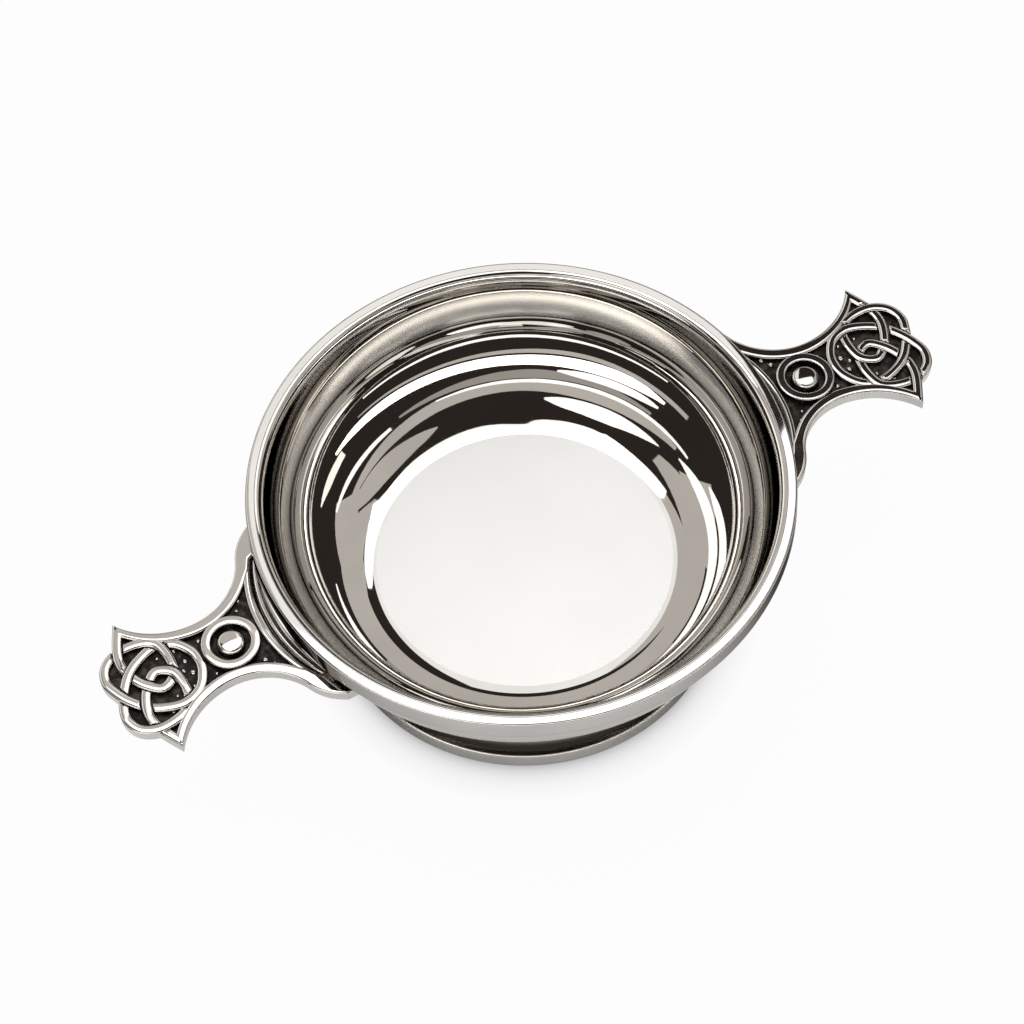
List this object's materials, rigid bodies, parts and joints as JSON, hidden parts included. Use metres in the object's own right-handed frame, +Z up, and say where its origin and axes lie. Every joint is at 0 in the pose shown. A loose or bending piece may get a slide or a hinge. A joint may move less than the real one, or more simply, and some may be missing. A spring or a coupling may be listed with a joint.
{
  "type": "quaich",
  "caption": "Shallow polished pewter drinking cup on a flared foot ring, with a banded rim and a flat cast lug with an interlaced strand on each side.",
  "frame": {"origin": "centre of the foot ring, on the surface that the cup stands on", "axes": "+X runs along the two lugs, +Z points up out of the bowl"},
  "size_m": [0.1692, 0.102, 0.039],
  "materials": {
    "polished_pewter": "mirror polished pewter",
    "cast_pewter": "cast pewter, polished on the raised work and dark in the sunk ground",
    "solder": "scraped and buffed solder"
  },
  "bodies": {
    "root": {"bowl": "polished_pewter", "rim_band": "polished_pewter", "foot_ring": "polished_pewter", "foot_solder": "solder", "lug_right": "cast_pewter", "lug_left": "cast_pewter", "bead_right": "polished_pewter", "bead_left": "polished_pewter", "lug_solder_right": "solder", "lug_solder_left": "solder"}
  },
  "joints": []
}
